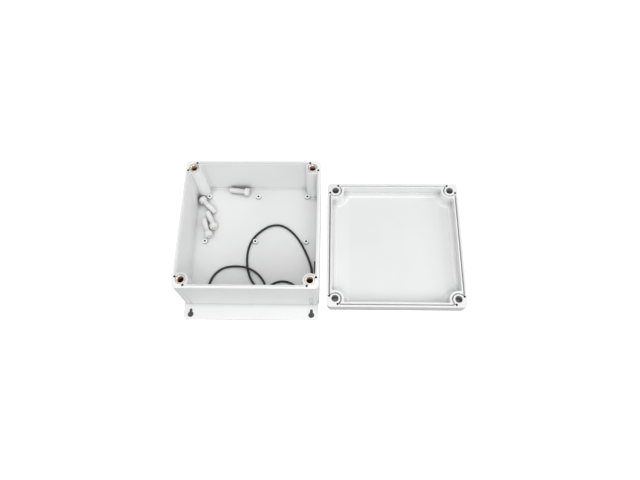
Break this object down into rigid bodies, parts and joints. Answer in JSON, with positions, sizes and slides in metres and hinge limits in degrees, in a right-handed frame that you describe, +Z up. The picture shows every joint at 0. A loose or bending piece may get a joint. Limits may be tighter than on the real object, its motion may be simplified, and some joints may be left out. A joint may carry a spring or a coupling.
{
  "type": "electrical junction box",
  "caption": "Square plastic junction box with mounting flanges, opened: deep base, shallow screw-down cover laid beside it, loose cover screws and rubber seal cord in the base.",
  "frame": {"origin": "centre of the base's underside", "axes": "+X from the base towards the cover lying beside it, +Y towards the back flange, +Z up out of the base"},
  "size_m": [0.4087, 0.2432, 0.0762],
  "materials": {
    "base_plastic": "fine satin, light grey",
    "cover_plastic": "fine satin, light grey",
    "insert_brass": "machined",
    "screw_plastic": "fine satin, light grey",
    "seal_rubber": "matt black foam rubber"
  },
  "bodies": {
    "base": {"base": "base_plastic", "insert_back_left": "insert_brass", "insert_back_right": "insert_brass", "insert_front_left": "insert_brass", "insert_front_right": "insert_brass"},
    "cover": {"cover": "cover_plastic"},
    "cover_screw_1": {"cover_screw_1": "screw_plastic"},
    "cover_screw_2": {"cover_screw_2": "screw_plastic"},
    "cover_screw_3": {"cover_screw_3": "screw_plastic"},
    "cover_screw_4": {"cover_screw_4": "screw_plastic"},
    "seal_cord": {"seal_cord": "seal_rubber"}
  },
  "joints": [
    {"name": "cover_lift", "type": "slide", "parent": "base", "child": "cover", "axis": [0, 0, 1], "range_m": [0, 0.12]},
    {"name": "cover_screw_1_lift", "type": "slide", "parent": "base", "child": "cover_screw_1", "axis": [0, 0, 1], "range_m": [0, 0.12]},
    {"name": "cover_screw_2_lift", "type": "slide", "parent": "base", "child": "cover_screw_2", "axis": [0, 0, 1], "range_m": [0, 0.12]},
    {"name": "cover_screw_3_lift", "type": "slide", "parent": "base", "child": "cover_screw_3", "axis": [0, 0, 1], "range_m": [0, 0.12]},
    {"name": "cover_screw_4_lift", "type": "slide", "parent": "base", "child": "cover_screw_4", "axis": [0, 0, 1], "range_m": [0, 0.12]},
    {"name": "seal_cord_lift", "type": "slide", "parent": "base", "child": "seal_cord", "axis": [0, 0, 1], "range_m": [0, 0.1]}
  ]
}
